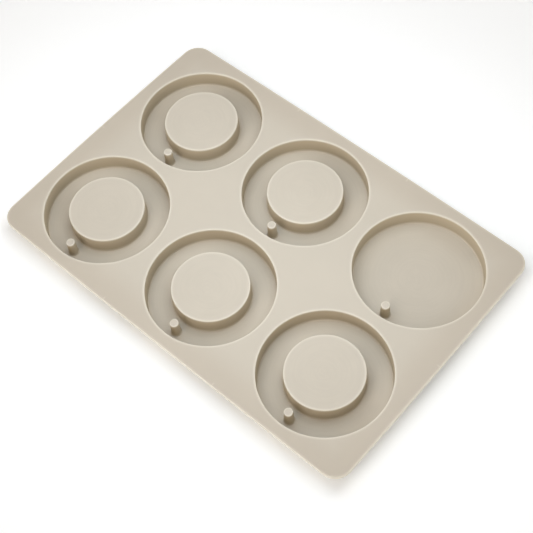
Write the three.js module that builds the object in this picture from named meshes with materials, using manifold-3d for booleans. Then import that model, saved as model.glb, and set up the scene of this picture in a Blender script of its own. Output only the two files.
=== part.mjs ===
// Silicone casting mould with six round cavities: five cast a flat ring and one casts a plain disc.
// Each cavity has a thin upright pin, which leaves a hanging hole in the casting.
//
// The real mould is one continuous moulding. It is divided here into the zones that a mould maker
// names: a thin deck, a cup hanging under each hole in the deck, a hollow core standing in each ring
// cavity, and the pins. Neighbouring zones meet face to face on a level plane, with no gap.
//
// The mould stands on its cups. The origin is in the middle of that plane, +X runs along the long
// side, +Y from the front row of cavities to the rear row, and +Z is up, out of the cavities.
// Lengths are in millimetres and angles in degrees.

import * as THREE from "three";
import { mergeVertices } from "three/addons/utils/BufferGeometryUtils.js";
import Module from "manifold-3d";

// The cavities and their grid.
const cavityDiameter = 69.4; // across the mouth, inside the rounded lip
const cavityDepth = 10; // from the deck's top face to the cavity floor
const columnWeb = 7.8; // deck between neighbouring mouths, along X
const rowWeb = 7; // deck between neighbouring mouths, along Y
const endMargin = 8.1; // deck beyond the outer mouths, along X
const sideMargin = 7.1; // deck beyond the outer mouths, along Y

// The silicone's thicknesses.
const deckThickness = 2;
const wallThickness = 2; // of the cups and of the cores
const floorThickness = 2; // of the cups' floors and of the cores' tops

// The cores and the pins, which end level with the deck.
const coreDiameter = 41.6; // across the flat top, outside its rounded edge
const pinDiameter = 4.6; // at the tip
const pinShoulder = 0.5; // bevel round the tip
const draft = 2.3; // slope of every wall from upright, so that a casting lets go

// Rounded edges and corners.
const cornerRadius = 10; // of the deck, seen from above
const edgeRound = 0.4; // round the deck's rim, above and below
const lipRound = 0.3; // where a cavity wall or a core meets the top face
const floorFillet = 0.5; // where a wall, core or pin meets a cavity floor
const cupFlare = 1; // where a cup spreads to meet the deck's underside
const cupRound = 1; // round a cup's bottom edge

// How finely round shapes are divided.
const roundSteps = 48;
const pinSteps = 16;
const cornerSteps = 8;
const edgeSteps = 3;
const lipSteps = 2;

const rise = Math.tan(THREE.MathUtils.degToRad(draft));
const floorTop = floorThickness;
const deckTop = floorTop + cavityDepth;
const deckUnder = deckTop - deckThickness;
const coreUnder = deckTop - floorThickness;

// Where a row or column of cavities stands, counted from the middle of the mould.
const columns = { left: -1, middle: 0, right: 1 };
const rows = { front: -0.5, rear: 0.5 };
const columnPitch = cavityDiameter + columnWeb;
const rowPitch = cavityDiameter + rowWeb;
const deckLength = 2 * columnPitch + cavityDiameter + 2 * endMargin;
const deckWidth = rowPitch + cavityDiameter + 2 * sideMargin;
const discCavity = "rear_right"; // the one cavity with no core

// Radii at height z of the faces that are shared by neighbouring zones.
const cavityRadius = (z) => cavityDiameter / 2 - rise * (deckTop - z);
const coreRadius = (z) => coreDiameter / 2 + rise * (deckTop - z);
const hollowRadius = (z) => coreRadius(z) - wallThickness;
const pinRadius = (z) => pinDiameter / 2 + rise * (deckTop - z);

// A pin stands in the middle of the ring-shaped channel, on the side of the front edge.
const pinDistance = (cavityRadius(deckTop) + coreRadius(deckTop)) / 2;

const silicone = new THREE.MeshStandardMaterial({
  color: new THREE.Color().setRGB(0.83, 0.8, 0.74, THREE.SRGBColorSpace),
  roughness: 0.6,
  metalness: 0,
});

const wasm = await Module();
wasm.setup();

// Points [radius, z] along an arc about (radius, z), from one angle to another.
function arc(radius, z, size, fromAngle, toAngle, steps) {
  return Array.from({ length: steps + 1 }, (_, i) => {
    const angle = THREE.MathUtils.degToRad(fromAngle + ((toAngle - fromAngle) * i) / steps);
    return [radius + size * Math.cos(angle), z + size * Math.sin(angle)];
  });
}

// Turns a profile of [radius, z] points about the Z axis.
function turned(profile, steps) {
  const points = profile.map(([radius, z]) => new THREE.Vector2(Math.max(radius, 0), z));
  return new THREE.LatheGeometry(points, steps).rotateX(Math.PI / 2);
}

// A closed profile, for a ring that doesn't reach the axis.
function turnedRing(profile, steps) {
  return turned([...profile, profile[0]], steps);
}

// A geometry as a solid that can be cut.
function solidOf(geometry) {
  const bare = geometry.clone();
  bare.deleteAttribute("normal");
  bare.deleteAttribute("uv");
  const merged = mergeVertices(bare);
  return new wasm.Manifold(
    new wasm.Mesh({
      numProp: 3,
      vertProperties: merged.attributes.position.array,
      triVerts: new Uint32Array(merged.index.array),
    }),
  );
}

// A cut solid as a flat-shaded geometry.
function geometryOf(solid) {
  const mesh = solid.getMesh();
  const geometry = new THREE.BufferGeometry()
    .setAttribute("position", new THREE.BufferAttribute(mesh.vertProperties, 3))
    .setIndex(new THREE.BufferAttribute(mesh.triVerts, 1))
    .toNonIndexed();
  geometry.computeVertexNormals();
  return geometry;
}

// The deck's outline seen from above: a rectangle with round corners.
function deckOutline() {
  const x = deckLength / 2 - cornerRadius;
  const y = deckWidth / 2 - cornerRadius;
  const quarter = Math.PI / 2;
  return new THREE.Shape()
    .absarc(x, y, cornerRadius, 0, quarter)
    .absarc(-x, y, cornerRadius, quarter, 2 * quarter)
    .absarc(-x, -y, cornerRadius, 2 * quarter, 3 * quarter)
    .absarc(x, -y, cornerRadius, 3 * quarter, 4 * quarter);
}

// The deck before its holes are cut, with a rounded rim.
function deckPlate() {
  return new THREE.ExtrudeGeometry(deckOutline(), {
    depth: deckThickness - 2 * edgeRound,
    bevelThickness: edgeRound,
    bevelSize: edgeRound,
    bevelOffset: -edgeRound,
    bevelSegments: edgeSteps,
    curveSegments: cornerSteps,
  }).translate(0, 0, deckUnder + edgeRound);
}

// What one cavity takes out of the deck, with a lip that spreads at the top.
function mouthCutter() {
  const above = deckTop + deckThickness;
  const below = deckUnder - deckThickness;
  const lip = cavityDiameter / 2 + lipRound;
  return turned(
    [
      [0, below],
      [cavityRadius(below), below],
      ...arc(lip, deckTop - lipRound, lipRound, 180, 90, lipSteps),
      [lip, above],
      [0, above],
    ],
    roundSteps,
  );
}

function deckGeometry() {
  const cutter = solidOf(mouthCutter());
  let deck = solidOf(deckPlate());
  for (const { x, y } of cavities) deck = deck.subtract(cutter.translate([x, y, 0]));
  return geometryOf(deck);
}

// The outside of a cup, from its bottom edge up to the deck's underside.
function cupOutside() {
  const outer = (z) => cavityRadius(z) + wallThickness;
  return [
    [outer(0) - cupRound, 0],
    [outer(cupRound), cupRound],
    [outer(deckUnder - cupFlare), deckUnder - cupFlare],
    [outer(deckUnder) + cupFlare, deckUnder],
  ];
}

// The inside of a cup, from the deck's underside down to the edge of its floor.
function cupInside() {
  return [
    [cavityRadius(deckUnder), deckUnder],
    [cavityRadius(floorTop + floorFillet), floorTop + floorFillet],
    [cavityRadius(floorTop) - floorFillet, floorTop],
  ];
}

// The cup of a ring cavity, open in the middle under its core.
function ringCupGeometry() {
  const middle = [
    [hollowRadius(floorTop), floorTop],
    [hollowRadius(0), 0],
  ];
  return turnedRing([...cupOutside(), ...cupInside(), ...middle], roundSteps);
}

// The cup of the disc cavity, with a whole floor.
function discCupGeometry() {
  return turned([[0, 0], ...cupOutside(), ...cupInside(), [0, floorTop]], roundSteps);
}

// A hollow core, closed at the top and open underneath.
function coreGeometry() {
  return turned(
    [
      [0, coreUnder],
      [hollowRadius(coreUnder) - floorFillet, coreUnder],
      [hollowRadius(coreUnder - floorFillet), coreUnder - floorFillet],
      [hollowRadius(floorTop), floorTop],
      [coreRadius(floorTop) + floorFillet, floorTop],
      [coreRadius(floorTop + floorFillet), floorTop + floorFillet],
      ...arc(coreDiameter / 2 - lipRound, deckTop - lipRound, lipRound, 0, 90, lipSteps),
      [0, deckTop],
    ],
    roundSteps,
  );
}

function pinGeometry() {
  return turned(
    [
      [0, floorTop],
      [pinRadius(floorTop) + floorFillet, floorTop],
      [pinRadius(floorTop + floorFillet), floorTop + floorFillet],
      [pinRadius(deckTop - pinShoulder), deckTop - pinShoulder],
      [pinRadius(deckTop) - pinShoulder, deckTop],
      [0, deckTop],
    ],
    pinSteps,
  );
}

function named(name, geometry) {
  const mesh = new THREE.Mesh(geometry, silicone);
  mesh.name = name;
  return mesh;
}

// One cavity's zones, in a group that stands where the cavity is.
function cavityGroup({ place, x, y }) {
  const group = new THREE.Group();
  group.position.set(x, y, 0);
  const pin = named("pin_" + place, pinGeometry());
  pin.position.set(0, -pinDistance, 0);
  group.add(pin);
  if (place === discCavity) {
    group.add(named("cup_" + place, discCupGeometry()));
  } else {
    group.add(named("cup_" + place, ringCupGeometry()));
    group.add(named("core_" + place, coreGeometry()));
  }
  return group;
}

const cavities = Object.entries(rows).flatMap(([row, j]) =>
  Object.entries(columns).map(([column, i]) => ({
    place: row + "_" + column,
    x: i * columnPitch,
    y: j * rowPitch,
  })),
);

const mould = new THREE.Group();
mould.add(named("deck", deckGeometry()));
for (const cavity of cavities) mould.add(cavityGroup(cavity));

export default mould;
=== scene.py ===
"""Silicone casting mould: the finished surfaces and materials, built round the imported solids.

The mould is one soft moulding in eighteen zones: a thin deck, a cup under each of its six mouths, five
hollow cores and six pins. Each zone gets a finely rounded mesh that stands for its plain solid.
Neighbouring zones meet on level planes with the same slope on both sides, so that the surface runs on
from one to the next.

Lengths are in metres, in the solids' own frame: X along the mould, Y from the front row of cavities to the
rear row, Z up, and the mould stands on Z = 0.
"""

import math

import bmesh
import bpy
from bpy.props import FloatProperty, FloatVectorProperty, IntProperty, PointerProperty
from mathutils import Matrix, Vector


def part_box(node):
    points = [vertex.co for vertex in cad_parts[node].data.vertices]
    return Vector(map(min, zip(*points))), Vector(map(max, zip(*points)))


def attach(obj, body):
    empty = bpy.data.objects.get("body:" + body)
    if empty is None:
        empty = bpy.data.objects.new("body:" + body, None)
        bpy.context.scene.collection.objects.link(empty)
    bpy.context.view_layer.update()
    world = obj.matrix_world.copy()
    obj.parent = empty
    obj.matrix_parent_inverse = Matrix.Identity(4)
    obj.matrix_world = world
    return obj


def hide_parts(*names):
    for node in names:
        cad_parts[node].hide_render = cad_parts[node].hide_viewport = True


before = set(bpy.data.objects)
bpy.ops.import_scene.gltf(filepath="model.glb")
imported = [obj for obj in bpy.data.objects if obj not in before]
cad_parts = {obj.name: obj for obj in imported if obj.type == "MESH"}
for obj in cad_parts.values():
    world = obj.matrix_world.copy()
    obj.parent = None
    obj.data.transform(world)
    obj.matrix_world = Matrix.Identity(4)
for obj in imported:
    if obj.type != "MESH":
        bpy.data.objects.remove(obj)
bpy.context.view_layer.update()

bl_info = {
    "name": "Silicone Casting Mould",
    "version": (1, 0, 0),
    "blender": (4, 5, 0),
    "location": "View3D > Sidebar > Mould",
    "description": "Builds the surfaces and the matt silicone of a six-cavity casting mould",
    "category": "Add Mesh",
}

MM = 0.001
BODY = "root"
BOXES = {node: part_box(node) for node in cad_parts}
DECK_LOW, DECK_HIGH = BOXES["deck"]
TOP, UNDER = DECK_HIGH.z, DECK_LOW.z
CAVITIES = sorted(node[len("cup_"):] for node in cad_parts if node.startswith("cup_"))
RING_CAVITIES = [place for place in CAVITIES if "core_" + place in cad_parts]
FORM = "form"
TURNING = "turning"
EDGE, CORNER, WALL, PLAIN = Vector((1, 0, 0)), Vector((0, 1, 0)), Vector((0, 0, 1)), Vector()
CRISP_ANGLE = math.radians(60)
ARC_STEPS = 8
LOOK_REACH = 1.3 * MM  # how far an edge's or a corner's look reaches along a face
FLOOR_DROP = 0.05 * MM  # keeps the floor off the cups' undersides
CAMERA_TARGET = Vector((14.9 * MM, -10.8 * MM, TOP))
PALE, WARM, COOL = (1, 0.95, 0.97), (1, 0.88, 0.75), (0.85, 0.92, 1)
# Soft boxes: name, azimuth from the front towards +X and elevation in degrees, power in watts, colour.
SOFT_BOXES = (
    ("front_low", 0, 25, 4.2, PALE),
    ("front_high", 0, 55, 2.7, WARM),
    ("front_left_low", 315, 25, 1.2, WARM),
    ("right_low", 90, 25, 2.0, WARM),
    ("rear_right_low", 135, 25, 1.6, COOL),
    ("rear_high", 180, 55, 1.8, WARM),
    ("rear_left_low", 225, 25, 2.5, PALE),
)


# --------------------------------------------------------------------------------------------------------
# Settings


class MouldShapeSettings(bpy.types.PropertyGroup):
    """Sizes of the moulding that its plain solids don't round off"""

    mouth_diameter: FloatProperty(
        name="Mouth Diameter", description="Across a cavity's mouth, inside its lip",
        default=69.4 * MM, min=20 * MM, unit="LENGTH")
    core_diameter: FloatProperty(
        name="Core Diameter", description="Across a core's top, outside its rounded edge",
        default=41.6 * MM, min=5 * MM, unit="LENGTH")
    pin_diameter: FloatProperty(
        name="Pin Diameter", description="Across a pin's tip", default=4.6 * MM, min=1 * MM, unit="LENGTH")
    draft: FloatProperty(
        name="Draft", description="Slope of every wall from upright",
        default=math.radians(2.3), min=0, max=math.radians(10), subtype="ANGLE", unit="ROTATION")
    wall: FloatProperty(
        name="Wall", description="Thickness of cups, cores and floors",
        default=2 * MM, min=0.5 * MM, unit="LENGTH")
    lip_radius: FloatProperty(
        name="Lip Radius", description="Round where a wall meets the top face",
        default=0.3 * MM, min=0.05 * MM, unit="LENGTH")
    floor_fillet: FloatProperty(
        name="Floor Fillet", description="Hollow round where a wall, core or pin meets a cavity floor",
        default=0.5 * MM, min=0.05 * MM, unit="LENGTH")
    rim_radius: FloatProperty(
        name="Rim Radius", description="Round along the deck's outer edge",
        default=0.3 * MM, min=0.05 * MM, unit="LENGTH")
    corner_radius: FloatProperty(
        name="Corner Radius", description="Of the deck's corners, seen from above",
        default=10 * MM, min=1 * MM, unit="LENGTH")
    cup_flare: FloatProperty(
        name="Cup Flare", description="Hollow round where a cup meets the deck's underside",
        default=1 * MM, min=0.05 * MM, unit="LENGTH")
    corner_pull: FloatProperty(
        name="Corner Pull", description="How far the soft deck's corners draw in from its straight outline",
        default=0.6 * MM, min=0, unit="LENGTH")
    corner_droop: FloatProperty(
        name="Corner Droop", description="How far the soft deck's corners hang down",
        default=0.35 * MM, min=0, unit="LENGTH")
    trim_line: FloatProperty(
        name="Trim Line", description="How far the trimmed line round the deck's edge stands proud",
        default=0.05 * MM, min=0, unit="LENGTH")
    tip_dish: FloatProperty(
        name="Tip Dish", description="Depth of the hollow in a pin's tip",
        default=0.12 * MM, min=0, unit="LENGTH")
    round_steps: IntProperty(
        name="Round Steps", description="Divisions round a cavity, a multiple of 8", default=192, min=32)
    pin_steps: IntProperty(name="Pin Steps", description="Divisions round a pin", default=64, min=12)


class SiliconeSettings(bpy.types.PropertyGroup):
    """Colours and surface detail of the silicone"""

    skin: FloatVectorProperty(
        name="Skin", description="Colour of the level faces", subtype="COLOR", size=3,
        default=(0.61, 0.56, 0.464), min=0, max=1)
    # Painted shade: the border colour darkens and warms the deck's outer margin, where less light falls.
    border: FloatVectorProperty(
        name="Border", description="Tint of the deck's handled border", subtype="COLOR", size=3,
        default=(0.945, 0.925, 0.91), min=0, max=1)
    border_width: FloatProperty(
        name="Border Width", description="How far the border's tint reaches in",
        default=22 * MM, unit="LENGTH")
    # Painted shade: the cavities' walls get a darker, browner colour than the level faces, standing for the
    # shade and coloured bounce light in the recesses, darkest near the floors.
    wall: FloatVectorProperty(
        name="Wall", description="Colour of the cavities' walls near their tops", subtype="COLOR", size=3,
        default=(0.515, 0.435, 0.305), min=0, max=1)
    deeper_wall_shade: FloatVectorProperty(
        name="Deep Wall", description="Colour of the cavities' walls near their floors",
        subtype="COLOR", size=3, default=(0.40, 0.342, 0.245), min=0, max=1)
    # Painted highlight: rounded lips and rims are lightened for the light they catch and let through.
    edge_highlight: FloatVectorProperty(
        name="Thin Edge", description="Colour of rounded edges, which let some light through",
        subtype="COLOR", size=3, default=(0.75, 0.70, 0.59), min=0, max=1)
    # Dust and painted shade: hollow corners are darkened, partly for the dust they hold and partly as painted
    # shade.
    corner: FloatVectorProperty(
        name="Corner", description="Colour of hollow corners, which hold a little dust",
        subtype="COLOR", size=3, default=(0.56, 0.50, 0.40), min=0, max=1)
    dust: FloatVectorProperty(
        name="Dust", description="Colour of dust specks", subtype="COLOR", size=3, default=(0.30, 0.25, 0.18),
        min=0, max=1)
    roughness: FloatProperty(
        name="Roughness", description="Of the matt moulded skin",
        default=0.56, min=0, max=1, subtype="FACTOR")
    cloud_size: FloatProperty(
        name="Cloud Size", description="Width of the faint cloudy patches", default=22 * MM, unit="LENGTH")
    cloud_strength: FloatProperty(
        name="Cloud Strength", description="How much the cloudy patches change the colour", default=0.015,
        min=0, max=1, subtype="FACTOR")
    grain_size: FloatProperty(
        name="Grain Size", description="Width of the matt grain", default=0.35 * MM, unit="LENGTH")
    grain_depth: FloatProperty(
        name="Grain Depth", description="Height of the matt grain", default=0.012 * MM, unit="LENGTH")
    turning_pitch: FloatProperty(
        name="Turning Pitch", description="Spacing of the faint marks left by the turned master",
        default=1.1 * MM, unit="LENGTH")
    turning_depth: FloatProperty(
        name="Turning Depth", description="Depth of the turning marks", default=0.012 * MM, unit="LENGTH")
    speck_spacing: FloatProperty(
        name="Speck Spacing", description="Typical distance between dust specks",
        default=24 * MM, unit="LENGTH")
    speck_size: FloatProperty(
        name="Speck Size", description="Radius of the largest dust specks", default=0.28 * MM, unit="LENGTH")


class StageSettings(bpy.types.PropertyGroup):
    """Floor, lights and camera"""

    azimuth: FloatProperty(
        name="Azimuth", description="Where the camera stands round the mould, from the front towards +X",
        default=math.radians(47.02), subtype="ANGLE", unit="ROTATION")
    elevation: FloatProperty(
        name="Elevation", description="How high the camera stands", default=math.radians(59.47),
        subtype="ANGLE", unit="ROTATION")
    roll: FloatProperty(
        name="Roll", description="Tilt of the camera about its own line of sight",
        default=math.radians(-6.85), subtype="ANGLE", unit="ROTATION")
    distance: FloatProperty(
        name="Distance", description="From the camera to what it looks at", default=0.600, unit="LENGTH")
    lens: FloatProperty(name="Lens", description="Focal length in millimetres", default=77.27)
    floor_size: FloatProperty(
        name="Floor Size", description="Side of the square floor", default=12.0, unit="LENGTH")
    shaded_glow: FloatProperty(
        name="Shaded Glow", description="Light that the white floor gives off under the mould",
        default=0.12, min=0)
    floor_glow: FloatProperty(
        name="Floor Glow", description="Light that the floor gives off near the mould", default=0.28, min=0)
    far_glow: FloatProperty(
        name="Far Glow", description="Light that the floor gives off far from the mould", default=0.8, min=0)
    box_distance: FloatProperty(
        name="Soft Box Distance", description="From the mould to the soft boxes round it", default=1.2,
        unit="LENGTH")
    box_size: FloatProperty(
        name="Soft Box Size", description="Side of a square soft box", default=0.7, unit="LENGTH")


# --------------------------------------------------------------------------------------------------------
# Measures shared by the pieces


def shape():
    return bpy.context.scene.mould_shape


def floor_top(place):
    return BOXES["pin_" + place][0].z


def centre_of(node):
    low, high = BOXES[node]
    return (low + high) / 2


def rise():
    return math.tan(shape().draft)


def mouth_radius(z):
    return shape().mouth_diameter / 2 - rise() * (TOP - z)


def core_radius(z):
    return shape().core_diameter / 2 + rise() * (TOP - z)


def hollow_radius(z):
    return core_radius(z) - shape().wall


def pin_radius(z):
    return shape().pin_diameter / 2 + rise() * (TOP - z)


# --------------------------------------------------------------------------------------------------------
# Mesh making


def arc(r, z, size, start, end, form):
    """Profile points (radius, height, form) on an arc about (r, z), from one angle in degrees to another."""
    angles = [math.radians(start + (end - start) * i / ARC_STEPS) for i in range(ARC_STEPS + 1)]
    return [(r + size * math.cos(a), z + size * math.sin(a), form) for a in angles]


def fade(distance):
    """How much of an edge's or a corner's look is left at a distance from it."""
    return max(0.0, 1 - distance / LOOK_REACH) ** 2


def stretch(start, end, face, steps=3):
    """Profile points on the straight between two others, close together near both ends, where the look of
    the ends gives way to that of the face."""
    length = math.dist(start[:2], end[:2])
    shrink = min(1.0, length / (4 * MM))
    near = [distance * shrink for distance in (0.12 * MM, 0.4 * MM, 0.8 * MM, LOOK_REACH)]
    middle = [near[-1] + (length - 2 * near[-1]) * i / (steps + 1) for i in range(1, steps + 1)]
    points = []
    for distance in near + middle + [length - value for value in reversed(near)]:
        share = distance / length
        form = face.lerp(start[2], fade(distance)).lerp(end[2], fade(length - distance))
        points.append((start[0] + (end[0] - start[0]) * share, start[1] + (end[1] - start[1]) * share, form))
    return points


def add_point(mesh, x, y, z, form, turning=(0, 0, 0)):
    """Adds a vertex that knows its form, as shares of edge, corner and wall, and its place on the turned
    master."""
    point = mesh.verts.new((x, y, z))
    point[mesh.verts.layers.float_vector[FORM]] = form
    point[mesh.verts.layers.float_vector[TURNING]] = turning
    return point


def new_mesh():
    mesh = bmesh.new()
    mesh.verts.layers.float_vector.new(FORM)
    mesh.verts.layers.float_vector.new(TURNING)
    return mesh


def revolve(profile, steps, centre):
    """Turns a closed profile about the upright line through centre."""
    mesh = new_mesh()
    pitch = bpy.context.scene.mould_silicone.turning_pitch
    rings = []
    for r, z, form in profile:
        travel = (r - z) / pitch
        if r < 1e-7:
            rings.append([add_point(mesh, centre.x, centre.y, z, form, (travel, 0, 0))] * steps)
            continue
        ring = []
        for i in range(steps):
            u, v = math.cos(2 * math.pi * i / steps), math.sin(2 * math.pi * i / steps)
            ring.append(add_point(mesh, centre.x + r * u, centre.y + r * v, z, form, (travel, u, v)))
        rings.append(ring)
    for low, high in zip(rings, rings[1:] + rings[:1]):
        fill_strip(mesh, low + low[:1], high + high[:1])
    return mesh


def fill_strip(mesh, first, second):
    """Fills the strip between two lines of as many points, which may meet in shared points."""
    for i in range(len(first) - 1):
        corners = dict.fromkeys((first[i], first[i + 1], second[i + 1], second[i]))
        if len(corners) > 2:
            mesh.faces.new(corners)


def finished(name, mesh, node):
    """Makes a piece of the mesh, which rides on the mould's body and stands for one of its solids."""
    bmesh.ops.recalc_face_normals(mesh, faces=mesh.faces)
    for face in mesh.faces:
        face.smooth = True
    for edge in mesh.edges:
        edge.smooth = edge.calc_face_angle(0) < CRISP_ANGLE
    data = bpy.data.meshes.new(name)
    mesh.to_mesh(data)
    mesh.free()
    data.materials.append(silicone())
    piece = bpy.data.objects.new(name, data)
    bpy.context.scene.collection.objects.link(piece)
    weighted = piece.modifiers.new("even_normals", "WEIGHTED_NORMAL")
    weighted.keep_sharp = True
    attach(piece, BODY)
    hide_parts(node)


# --------------------------------------------------------------------------------------------------------
# Material


class Wiring:
    """Short ways to add and join shader nodes."""

    def __init__(self, material):
        self.tree = material.node_tree

    def add(self, kind, name, inputs=None, **values):
        node = self.tree.nodes.new(kind)
        node.name = node.label = name
        for key, value in values.items():
            setattr(node, key, value)
        for key, value in (inputs or {}).items():
            self.feed(value, node.inputs[key])
        return node

    def feed(self, value, socket):
        if isinstance(value, bpy.types.NodeSocket):
            self.tree.links.new(value, socket)
        else:
            socket.default_value = value

    def math(self, name, operation, *values, clamp=False):
        node = self.add("ShaderNodeMath", name, dict(enumerate(values)), operation=operation, use_clamp=clamp)
        return node.outputs[0]

    def noise(self, name, vector, scale, detail=2.0):
        """A noise value about 0.5."""
        inputs = {"Vector": vector, "Scale": scale, "Detail": detail}
        return self.add("ShaderNodeTexNoise", name, inputs).outputs["Fac"]

    def spread(self, name, value, low, high, start=0.0, end=1.0):
        """The value's stretch from low to high, eased into start to end."""
        inputs = {"Value": value, "From Min": low, "From Max": high, "To Min": start, "To Max": end}
        node = self.add("ShaderNodeMapRange", name, inputs, interpolation_type="SMOOTHSTEP")
        return node.outputs["Result"]

    def mix(self, name, share, first, second, blend="MIX"):
        node = self.add("ShaderNodeMix", name, data_type="RGBA", blend_type=blend)
        self.feed(share, node.inputs["Factor"])
        self.feed(first, node.inputs["A"])
        self.feed(second, node.inputs["B"])
        return node.outputs["Result"]

    def deck_distance(self, place):
        """How far a place lies outside the deck's outline, seen from above. It's below zero inside."""
        axes = self.add("ShaderNodeSeparateXYZ", "axes", {"Vector": place}).outputs
        along = self.math("beyond_end", "SUBTRACT", self.math("along", "ABSOLUTE", axes["X"]), DECK_HIGH.x)
        across = self.math("beyond_side", "SUBTRACT", self.math("across", "ABSOLUTE", axes["Y"]), DECK_HIGH.y)
        return self.math("deck_distance", "MAXIMUM", along, across)


def silicone():
    """The matt silicone that all zones are made of."""
    material = bpy.data.materials.get("matt_silicone")
    if material:
        return material
    material = bpy.data.materials.new("matt_silicone")
    material.use_nodes = True
    wire = Wiring(material)
    s = bpy.context.scene.mould_silicone
    place = wire.add("ShaderNodeTexCoord", "place").outputs["Object"]
    form = wire.add("ShaderNodeAttribute", "form", attribute_name=FORM).outputs["Vector"]
    shares = wire.add("ShaderNodeSeparateXYZ", "shares", {"Vector": form}).outputs
    edge, corner, wall = shares["X"], shares["Y"], shares["Z"]
    turning = wire.add("ShaderNodeAttribute", "turning", attribute_name=TURNING).outputs["Vector"]
    clouds = wire.noise("clouds", place, 1 / s.cloud_size, 3.0)
    marks = wire.noise("marks", turning, 1.0, 2.0)
    grain = wire.noise("grain", place, 1 / s.grain_size, 3.0)
    shader = material.node_tree.nodes["Principled BSDF"]
    shader.inputs["IOR"].default_value = 1.42
    wire.feed(silicone_colour(wire, s, place, edge, corner, wall, clouds, marks), shader.inputs["Base Color"])
    wire.feed(silicone_roughness(wire, s, edge, corner, clouds, marks), shader.inputs["Roughness"])
    wire.feed(silicone_relief(wire, s, marks, grain), shader.inputs["Normal"])
    return material


def silicone_colour(wire, s, place, edge, corner, wall, clouds, marks):
    """Painted shade darkens and warms the deck's border and the cavities' walls, most deep down; a painted
    highlight lightens the rounded edges; hollow corners are darker from dust and painted shade; and a few
    dust specks lie about."""
    # Painted shade: the deck's outer margin is darkened and warmed, fading out inward.
    painted_border_shade = wire.spread("painted_border_shade", wire.deck_distance(place), -s.border_width, -0.25 * s.border_width)
    skin = wire.mix("border_shaded_skin", painted_border_shade, (*s.skin, 1), (*(a * b for a, b in zip(s.skin, s.border)), 1))
    # Painted shade: the cavities' walls take a darker, browner colour, darkest near the floors.
    height = wire.add("ShaderNodeSeparateXYZ", "height", {"Vector": place}).outputs["Z"]
    depth = wire.spread("wall_shade_height", height, 0.0, TOP, 0, 1)
    walls = wire.mix("shaded_deep_or_high_wall", depth, (*s.deeper_wall_shade, 1), (*s.wall, 1))
    colour = wire.mix("skin_or_shaded_wall", wall, skin, walls)
    # Painted highlight: rounded lips and rims are lightened.
    colour = wire.mix("edge_highlights", edge, colour, (*s.edge_highlight, 1))
    # Dust and painted shade: hollow corners take the darker corner colour.
    colour = wire.mix("corners", corner, colour, (*s.corner, 1))
    cloud_shade = wire.spread("cloud_shade", clouds, 0.25, 0.75, 1 - s.cloud_strength, 1 + s.cloud_strength)
    mark_shade = wire.spread("mark_shade", marks, 0.3, 0.7, 0.988, 1.012)
    shade = wire.math("shade", "MULTIPLY", cloud_shade, mark_shade)
    grey = wire.add("ShaderNodeCombineColor", "grey", {"Red": shade, "Green": shade, "Blue": shade})
    colour = wire.mix("shaded", 1.0, colour, grey.outputs["Color"], "MULTIPLY")
    specks = wire.add("ShaderNodeTexVoronoi", "specks", {"Vector": place, "Scale": 1 / s.speck_spacing})
    chance = wire.add("ShaderNodeSeparateColor", "chance", {"Color": specks.outputs["Color"]}).outputs["Red"]
    size = wire.math("speck_reach", "MULTIPLY", chance, s.speck_size / s.speck_spacing)
    inside = wire.math("in_speck", "LESS_THAN", specks.outputs["Distance"], size)
    shown = wire.math("few_specks", "MULTIPLY", inside, 0.6)
    return wire.mix("specks_on_top", shown, colour, (*s.dust, 1))


def silicone_roughness(wire, s, edge, corner, clouds, marks):
    """Handled edges are a little smoother, dusty corners rougher."""
    cloudy = wire.spread("cloud_gloss", clouds, 0.25, 0.75, s.roughness - 0.04, s.roughness + 0.04)
    marked = wire.math("mark_gloss", "ADD", cloudy, wire.spread("mark_change", marks, 0.3, 0.7, -0.03, 0.03))
    smoother = wire.math("edge_gloss", "MULTIPLY_ADD", edge, -0.12, marked)
    return wire.math("corner_gloss", "MULTIPLY_ADD", corner, 0.15, smoother, clamp=True)


def silicone_relief(wire, s, marks, grain):
    """Fine matt grain with faint turning marks."""
    depth = wire.math("mark_depth", "MULTIPLY", marks, s.turning_depth)
    height = wire.math("height", "MULTIPLY_ADD", grain, s.grain_depth, depth)
    bump = wire.add("ShaderNodeBump", "relief", {"Height": height, "Distance": 1.0, "Strength": 1.0})
    return bump.outputs["Normal"]


# --------------------------------------------------------------------------------------------------------
# Pieces


def cup_outside():
    """A cup's outer profile, from its bottom edge up to the cove under the deck."""
    s = shape()
    slope = math.degrees(s.draft)
    size = s.wall / 2
    edge = arc(mouth_radius(0) + s.wall - size, size, size, -90, -slope, EDGE)
    cove_r = mouth_radius(UNDER) + s.wall + s.cup_flare
    cove = arc(cove_r, UNDER - s.cup_flare, s.cup_flare, 180 - slope, 90, CORNER)
    cove[-1] = (*cove[-1][:2], PLAIN)
    return edge + stretch(edge[-1], cove[0], PLAIN) + cove


def cup_inside(place):
    """A cup's inner profile, from the deck's underside down to the edge of its floor."""
    s = shape()
    slope = math.degrees(s.draft)
    floor = floor_top(place)
    size = s.floor_fillet
    start = (mouth_radius(UNDER), UNDER, WALL)
    fillet = arc(mouth_radius(floor) - size, floor + size, size, -slope, -90, CORNER)
    return [start] + stretch(start, fillet[0], WALL) + fillet


def ring_middle(edge, outside, floor):
    """Closes a ring cavity's profile: across its floor to the core's inner wall, and down through the
    opening."""
    s = shape()
    slope = math.degrees(s.draft)
    core_foot = (core_radius(floor) + s.floor_fillet, floor, CORNER)
    core_inner = (hollow_radius(floor), floor, PLAIN)
    size = s.wall / 2
    opening = arc(hollow_radius(0) + size, size, size, 180 + slope, 270, EDGE)
    points = stretch(edge, core_foot, PLAIN) + [core_foot, core_inner]
    return points + stretch(core_inner, opening[0], PLAIN, 1) + opening + stretch(opening[-1], outside, PLAIN)


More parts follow.
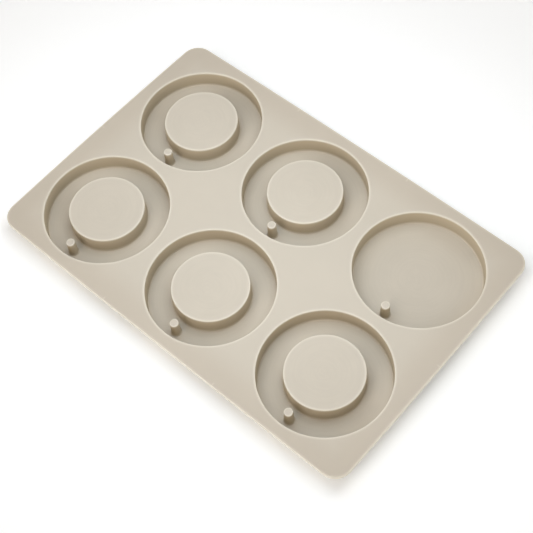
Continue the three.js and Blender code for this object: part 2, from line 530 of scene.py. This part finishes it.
def disc_middle(edge, outside, floor):
    """Closes a disc cavity's profile: across its floor to the middle, and back along its underside."""
    top, bottom = (0, floor, PLAIN), (0, 0, PLAIN)
    return stretch(edge, top, PLAIN) + [top, bottom] + stretch(bottom, outside, PLAIN)


class MOULD_OT_cups(bpy.types.Operator):
    """Make the wall and floor of every cavity"""

    bl_idname = "mould.cups"
    bl_label = "Cups"

    def execute(self, context):
        for place in CAVITIES:
            outside = cup_outside()
            inside = cup_inside(place)
            close = ring_middle if place in RING_CAVITIES else disc_middle
            profile = outside + inside + close(inside[-1], outside[0], floor_top(place))
            mesh = revolve(profile, shape().round_steps, centre_of("cup_" + place))
            finished("cup_shell_" + place, mesh, "cup_" + place)
        return {"FINISHED"}


class MOULD_OT_cores(bpy.types.Operator):
    """Make the hollow cores that leave the middle of a ring open"""

    bl_idname = "mould.cores"
    bl_label = "Cores"

    def execute(self, context):
        s = shape()
        slope = math.degrees(s.draft)
        ceiling = TOP - s.wall
        round_size = s.wall / 2
        for place in RING_CAVITIES:
            floor = floor_top(place)
            fillet_r = hollow_radius(ceiling) - round_size
            fillet = arc(fillet_r, ceiling - round_size, round_size, 90, slope, CORNER)
            hollow_foot = (hollow_radius(floor), floor, PLAIN)
            size = s.floor_fillet
            foot = arc(core_radius(floor) + size, floor + size, size, 270, 180 + slope, CORNER)
            size = s.lip_radius
            lip = arc(core_radius(TOP) - size, TOP - size, size, slope, 90, EDGE)
            under_middle, top_middle = (0, ceiling, PLAIN), (0, TOP, PLAIN)
            profile = [under_middle] + stretch(under_middle, fillet[0], PLAIN) + fillet
            profile += stretch(fillet[-1], hollow_foot, PLAIN) + [hollow_foot] + foot
            profile += stretch(foot[-1], lip[0], WALL) + lip
            profile += stretch(lip[-1], top_middle, PLAIN) + [top_middle]
            mesh = revolve(profile, s.round_steps, centre_of("cup_" + place))
            finished("core_shell_" + place, mesh, "core_" + place)
        return {"FINISHED"}


class MOULD_OT_pins(bpy.types.Operator):
    """Make the upright pins that leave a hanging hole"""

    bl_idname = "mould.pins"
    bl_label = "Pins"

    def execute(self, context):
        s = shape()
        slope = math.degrees(s.draft)
        for place in CAVITIES:
            floor = floor_top(place)
            size = s.floor_fillet
            foot = arc(pin_radius(floor) + size, floor + size, size, 270, 180 + slope, CORNER)
            size = s.lip_radius
            tip = arc(pin_radius(TOP) - size, TOP - size, size, slope, 90, EDGE)
            dish_r = tip[-1][0]
            shares = (0.8, 0.6, 0.4, 0.2, 0)
            dish = [(dish_r * share, TOP - s.tip_dish * (1 - share ** 2), PLAIN) for share in shares]
            profile = [(0, floor, PLAIN)] + foot + stretch(foot[-1], tip[0], WALL) + tip + dish
            mesh = revolve(profile, s.pin_steps, centre_of("pin_" + place))
            finished("pin_shell_" + place, mesh, "pin_" + place)
        return {"FINISHED"}


class MOULD_OT_deck(bpy.types.Operator):
    """Make the thin deck with its six mouths"""

    bl_idname = "mould.deck"
    bl_label = "Deck"

    def execute(self, context):
        mesh = new_mesh()
        for place in CAVITIES:
            deck_cell(mesh, place)
        bmesh.ops.remove_doubles(mesh, verts=mesh.verts, dist=0.01 * MM)
        finished("deck_sheet", mesh, "deck")
        return {"FINISHED"}


def cell_reach(place):
    """How far a cavity's share of the deck reaches from the cavity's centre: (-X, +X, -Y, +Y)."""
    centre = centre_of("cup_" + place)
    reach = []
    for axis in (0, 1):
        values = sorted({round(centre_of("cup_" + other)[axis], 6) for other in CAVITIES})
        index = min(range(len(values)), key=lambda i: abs(values[i] - centre[axis]))
        below = DECK_LOW[axis] if index == 0 else (values[index - 1] + values[index]) / 2
        above = DECK_HIGH[axis] if index == len(values) - 1 else (values[index] + values[index + 1]) / 2
        reach += [centre[axis] - below, above - centre[axis]]
    return reach


def deck_border(centre, reach, angle):
    """Where a column of points ends on the border of a cavity's share, and which way is outward if that
    border is the deck's own edge. The columns at 45 degrees end in the share's corners."""
    s = shape()
    left, right, front, rear = reach
    u, v = math.cos(angle), math.sin(angle)
    size = max(abs(u), abs(v))
    x = centre.x + u / size * (right if u > 0 else left)
    y = centre.y + v / size * (rear if v > 0 else front)
    at_side = abs(abs(x) - DECK_HIGH.x) < 1e-6
    at_end = abs(abs(y) - DECK_HIGH.y) < 1e-6
    outward = Vector((math.copysign(at_side, x), math.copysign(at_end, y)))
    turn_x = math.copysign(DECK_HIGH.x - s.corner_radius, x)
    turn_y = math.copysign(DECK_HIGH.y - s.corner_radius, y)
    turn = Vector((turn_x, turn_y))
    beyond = Vector((x, y)) - turn
    if outward.length and beyond.x * x > 0 and beyond.y * y > 0:
        outward = beyond.normalized()
        return turn + outward * s.corner_radius, outward
    return Vector((x, y)), outward


def cornerward(place):
    """How near a place on the deck's border is to a corner, from 0 at the middle of a side to 1."""
    return (place.x / DECK_HIGH.x * place.y / DECK_HIGH.y) ** 2


def deck_edge():
    """The deck's edge as (distance outward, height, form): two rounds with the trim line between them."""
    s = shape()
    size, line = s.rim_radius, s.trim_line
    middle = (TOP + UNDER) / 2
    line_shape = ((0, 1.2), (1, 0.4), (1, -0.4), (0, -1.2))
    ridge = [(size + line * out, middle + line * up, EDGE) for out, up in line_shape]
    return arc(0, TOP - size, size, 90, 0, EDGE) + ridge + arc(0, UNDER + size, size, 0, -90, EDGE)


def deck_cell(mesh, place):
    """One cavity's share of the deck: its mouth and lip, the flat round it and any outer edge."""
    s = shape()
    centre = centre_of("cup_" + place)
    reach = cell_reach(place)
    mouth = (mouth_radius(UNDER), UNDER, WALL)
    size = s.lip_radius
    lip = arc(mouth_radius(TOP) + size, TOP - size, size, 180 - math.degrees(s.draft), 90, EDGE)
    inner = [mouth] + stretch(mouth, lip[0], WALL, 1) + lip
    columns = []
    for i in range(s.round_steps):
        angle = 2 * math.pi * i / s.round_steps
        columns.append(deck_column(mesh, centre.xy, angle, inner, *deck_border(centre, reach, angle)))
    for (over_a, edge_a, below_a), (over_b, edge_b, below_b) in zip(columns, columns[1:] + columns[:1]):
        fill_strip(mesh, over_a + edge_a[:1], over_b + edge_b[:1])
        fill_strip(mesh, edge_a[-1:] + below_a + over_a[:1], edge_b[-1:] + below_b + over_b[:1])
        if min(len(edge_a), len(edge_b)) > 2:
            fill_strip(mesh, edge_a, edge_b)


def deck_column(mesh, centre, angle, inner, border, outward):
    """Three lines of points at one angle from a cavity's centre: from the mouth over the lip and the top,
    down the deck's edge or the border to the next share, and back along the underside."""
    s = shape()
    ray = Vector((math.cos(angle), math.sin(angle)))
    droop = s.corner_droop * cornerward(border)
    end = border - outward * (s.rim_radius + s.trim_line + s.corner_pull * cornerward(border))
    at_end = EDGE if outward.length else PLAIN

    def across(r, height, form):
        """Points from a radius out to the border."""
        start = centre + ray * r
        length = (end - start).length
        points = []
        for distance, z, form in stretch((0, height, form), (length, height, at_end), PLAIN):
            place = start.lerp(end, distance / length)
            points.append(add_point(mesh, *place, z - droop * (distance / length) ** 2, form))
        return points

    over = [add_point(mesh, *(centre + ray * r), z, form) for r, z, form in inner]
    over += across(inner[-1][0], TOP, EDGE)
    profile = deck_edge() if outward.length else [(0, TOP, PLAIN), (0, UNDER, PLAIN)]
    edge = [add_point(mesh, *(end + outward * out), z - droop, form) for out, z, form in profile]
    below = across(inner[0][0], UNDER, PLAIN)
    return over, edge, below[::-1]


# --------------------------------------------------------------------------------------------------------
# Stage


class MOULD_OT_stage(bpy.types.Operator):
    """Make the camera, the floor and the soft light"""

    bl_idname = "mould.stage"
    bl_label = "Stage"

    def execute(self, context):
        stage = context.scene.mould_stage
        make_camera(stage)
        make_floor(stage)
        make_lights(stage)
        return {"FINISHED"}


def way_out(azimuth, elevation):
    """The way from the mould to something round it, azimuth from the front towards +X."""
    level = math.cos(elevation)
    return Vector((math.sin(azimuth) * level, -math.cos(azimuth) * level, math.sin(elevation)))


def make_camera(stage):
    a, e, roll = stage.azimuth, stage.elevation, stage.roll
    back = way_out(a, e)
    right = Vector((math.cos(a), math.sin(a), 0))
    up = back.cross(right)
    turned_right = math.cos(roll) * right + math.sin(roll) * up
    turned_up = math.cos(roll) * up - math.sin(roll) * right
    data = bpy.data.cameras.new("camera")
    data.lens = stage.lens
    data.sensor_width = 36
    camera = bpy.data.objects.new("camera", data)
    bpy.context.scene.collection.objects.link(camera)
    camera.matrix_world = Matrix.Translation(CAMERA_TARGET + back * stage.distance) @ Matrix(
        (turned_right, turned_up, back)).transposed().to_4x4()
    bpy.context.scene.camera = camera


def make_floor(stage):
    """A matt white floor that glows a little, as a lit table does, and more so away from the mould; the
    weaker glow under and near the mould is a painted shadow.
    """
    mesh = bmesh.new()
    bmesh.ops.create_grid(mesh, x_segments=8, y_segments=8, size=stage.floor_size / 2)
    data = bpy.data.meshes.new("floor")
    mesh.to_mesh(data)
    mesh.free()
    floor = bpy.data.objects.new("floor", data)
    floor.location.z = -FLOOR_DROP
    bpy.context.scene.collection.objects.link(floor)
    material = bpy.data.materials.new("white_floor")
    material.use_nodes = True
    wire = Wiring(material)
    shader = material.node_tree.nodes["Principled BSDF"]
    shader.inputs["Base Color"].default_value = (0.92, 0.92, 0.92, 1)
    shader.inputs["Roughness"].default_value = 0.9
    shader.inputs["Emission Color"].default_value = (0.93, 1, 1, 1)
    place = wire.add("ShaderNodeTexCoord", "place").outputs["Object"]
    distance = wire.deck_distance(place)
    # Painted shadow: the floor glows least under the deck's edge and more towards the open floor.
    near = wire.spread("near_glow", distance, -8 * MM, 4 * MM, stage.shaded_glow, stage.floor_glow)
    far = wire.spread("far_glow", distance, 0.1, 0.6, 0.0, stage.far_glow - stage.floor_glow)
    wire.feed(wire.math("glow", "ADD", near, far), shader.inputs["Emission Strength"])
    data.materials.append(material)


def area_light(name, place, target, size, power, colour):
    """A soft box that the camera doesn't see."""
    data = bpy.data.lights.new(name, "AREA")
    data.shape = "RECTANGLE"
    data.size, data.size_y = size
    data.energy = power
    data.color = colour
    light = bpy.data.objects.new(name, data)
    light.location = place
    light.rotation_euler = (Vector(target) - Vector(place)).to_track_quat("-Z", "Y").to_euler()
    light.visible_camera = False
    bpy.context.scene.collection.objects.link(light)
    return light


def make_lights(stage):
    """A close panel over the mould, soft boxes round it and a pale band along the horizon."""
    middle = (0, 0, TOP / 2)
    area_light("close_panel", (0, 0, 0.2), middle, (0.3, 0.2), 0.34, COOL)
    for name, azimuth, elevation, power, colour in SOFT_BOXES:
        place = stage.box_distance * way_out(math.radians(azimuth), math.radians(elevation))
        area_light(name, place, middle, (stage.box_size, stage.box_size), power, colour)
    make_world()
    bpy.context.scene.view_settings.view_transform = "Standard"


def make_world():
    world = bpy.data.worlds.new("studio")
    world.use_nodes = True
    wire = Wiring(world)
    way = wire.add("ShaderNodeTexCoord", "way").outputs["Generated"]
    height = wire.add("ShaderNodeSeparateXYZ", "height", {"Vector": way}).outputs["Z"]
    background = world.node_tree.nodes["Background"]
    background.inputs["Color"].default_value = (0.97, 0.98, 1, 1)
    wire.feed(wire.spread("band", height, 0.1, 0.4, 0.93, 0.0), background.inputs["Strength"])
    bpy.context.scene.world = world


# --------------------------------------------------------------------------------------------------------
# Panel and registration


OPERATORS = (MOULD_OT_stage, MOULD_OT_deck, MOULD_OT_cups, MOULD_OT_cores, MOULD_OT_pins)
SETTINGS = {
    "mould_shape": MouldShapeSettings,
    "mould_silicone": SiliconeSettings,
    "mould_stage": StageSettings,
}


class MOULD_PT_panel(bpy.types.Panel):
    """Buttons and sizes for the mould"""

    bl_idname = "MOULD_PT_panel"
    bl_label = "Casting Mould"
    bl_space_type = "VIEW_3D"
    bl_region_type = "UI"
    bl_category = "Mould"

    def draw(self, context):
        for operator in OPERATORS:
            self.layout.operator(operator.bl_idname)
        for attribute, group in SETTINGS.items():
            box = self.layout.box()
            for name in group.__annotations__:
                box.prop(getattr(context.scene, attribute), name)


def register():
    for group in SETTINGS.values():
        bpy.utils.register_class(group)
    for attribute, group in SETTINGS.items():
        setattr(bpy.types.Scene, attribute, PointerProperty(type=group))
    for cls in (*OPERATORS, MOULD_PT_panel):
        bpy.utils.register_class(cls)


def unregister():
    for cls in reversed((*OPERATORS, MOULD_PT_panel)):
        bpy.utils.unregister_class(cls)
    for attribute in SETTINGS:
        delattr(bpy.types.Scene, attribute)
    for group in reversed(SETTINGS.values()):
        bpy.utils.unregister_class(group)


def main():
    register()
    bpy.ops.mould.stage()
    bpy.ops.mould.deck()
    bpy.ops.mould.cups()
    bpy.ops.mould.cores()
    bpy.ops.mould.pins()


if __name__ == "__main__":
    main()
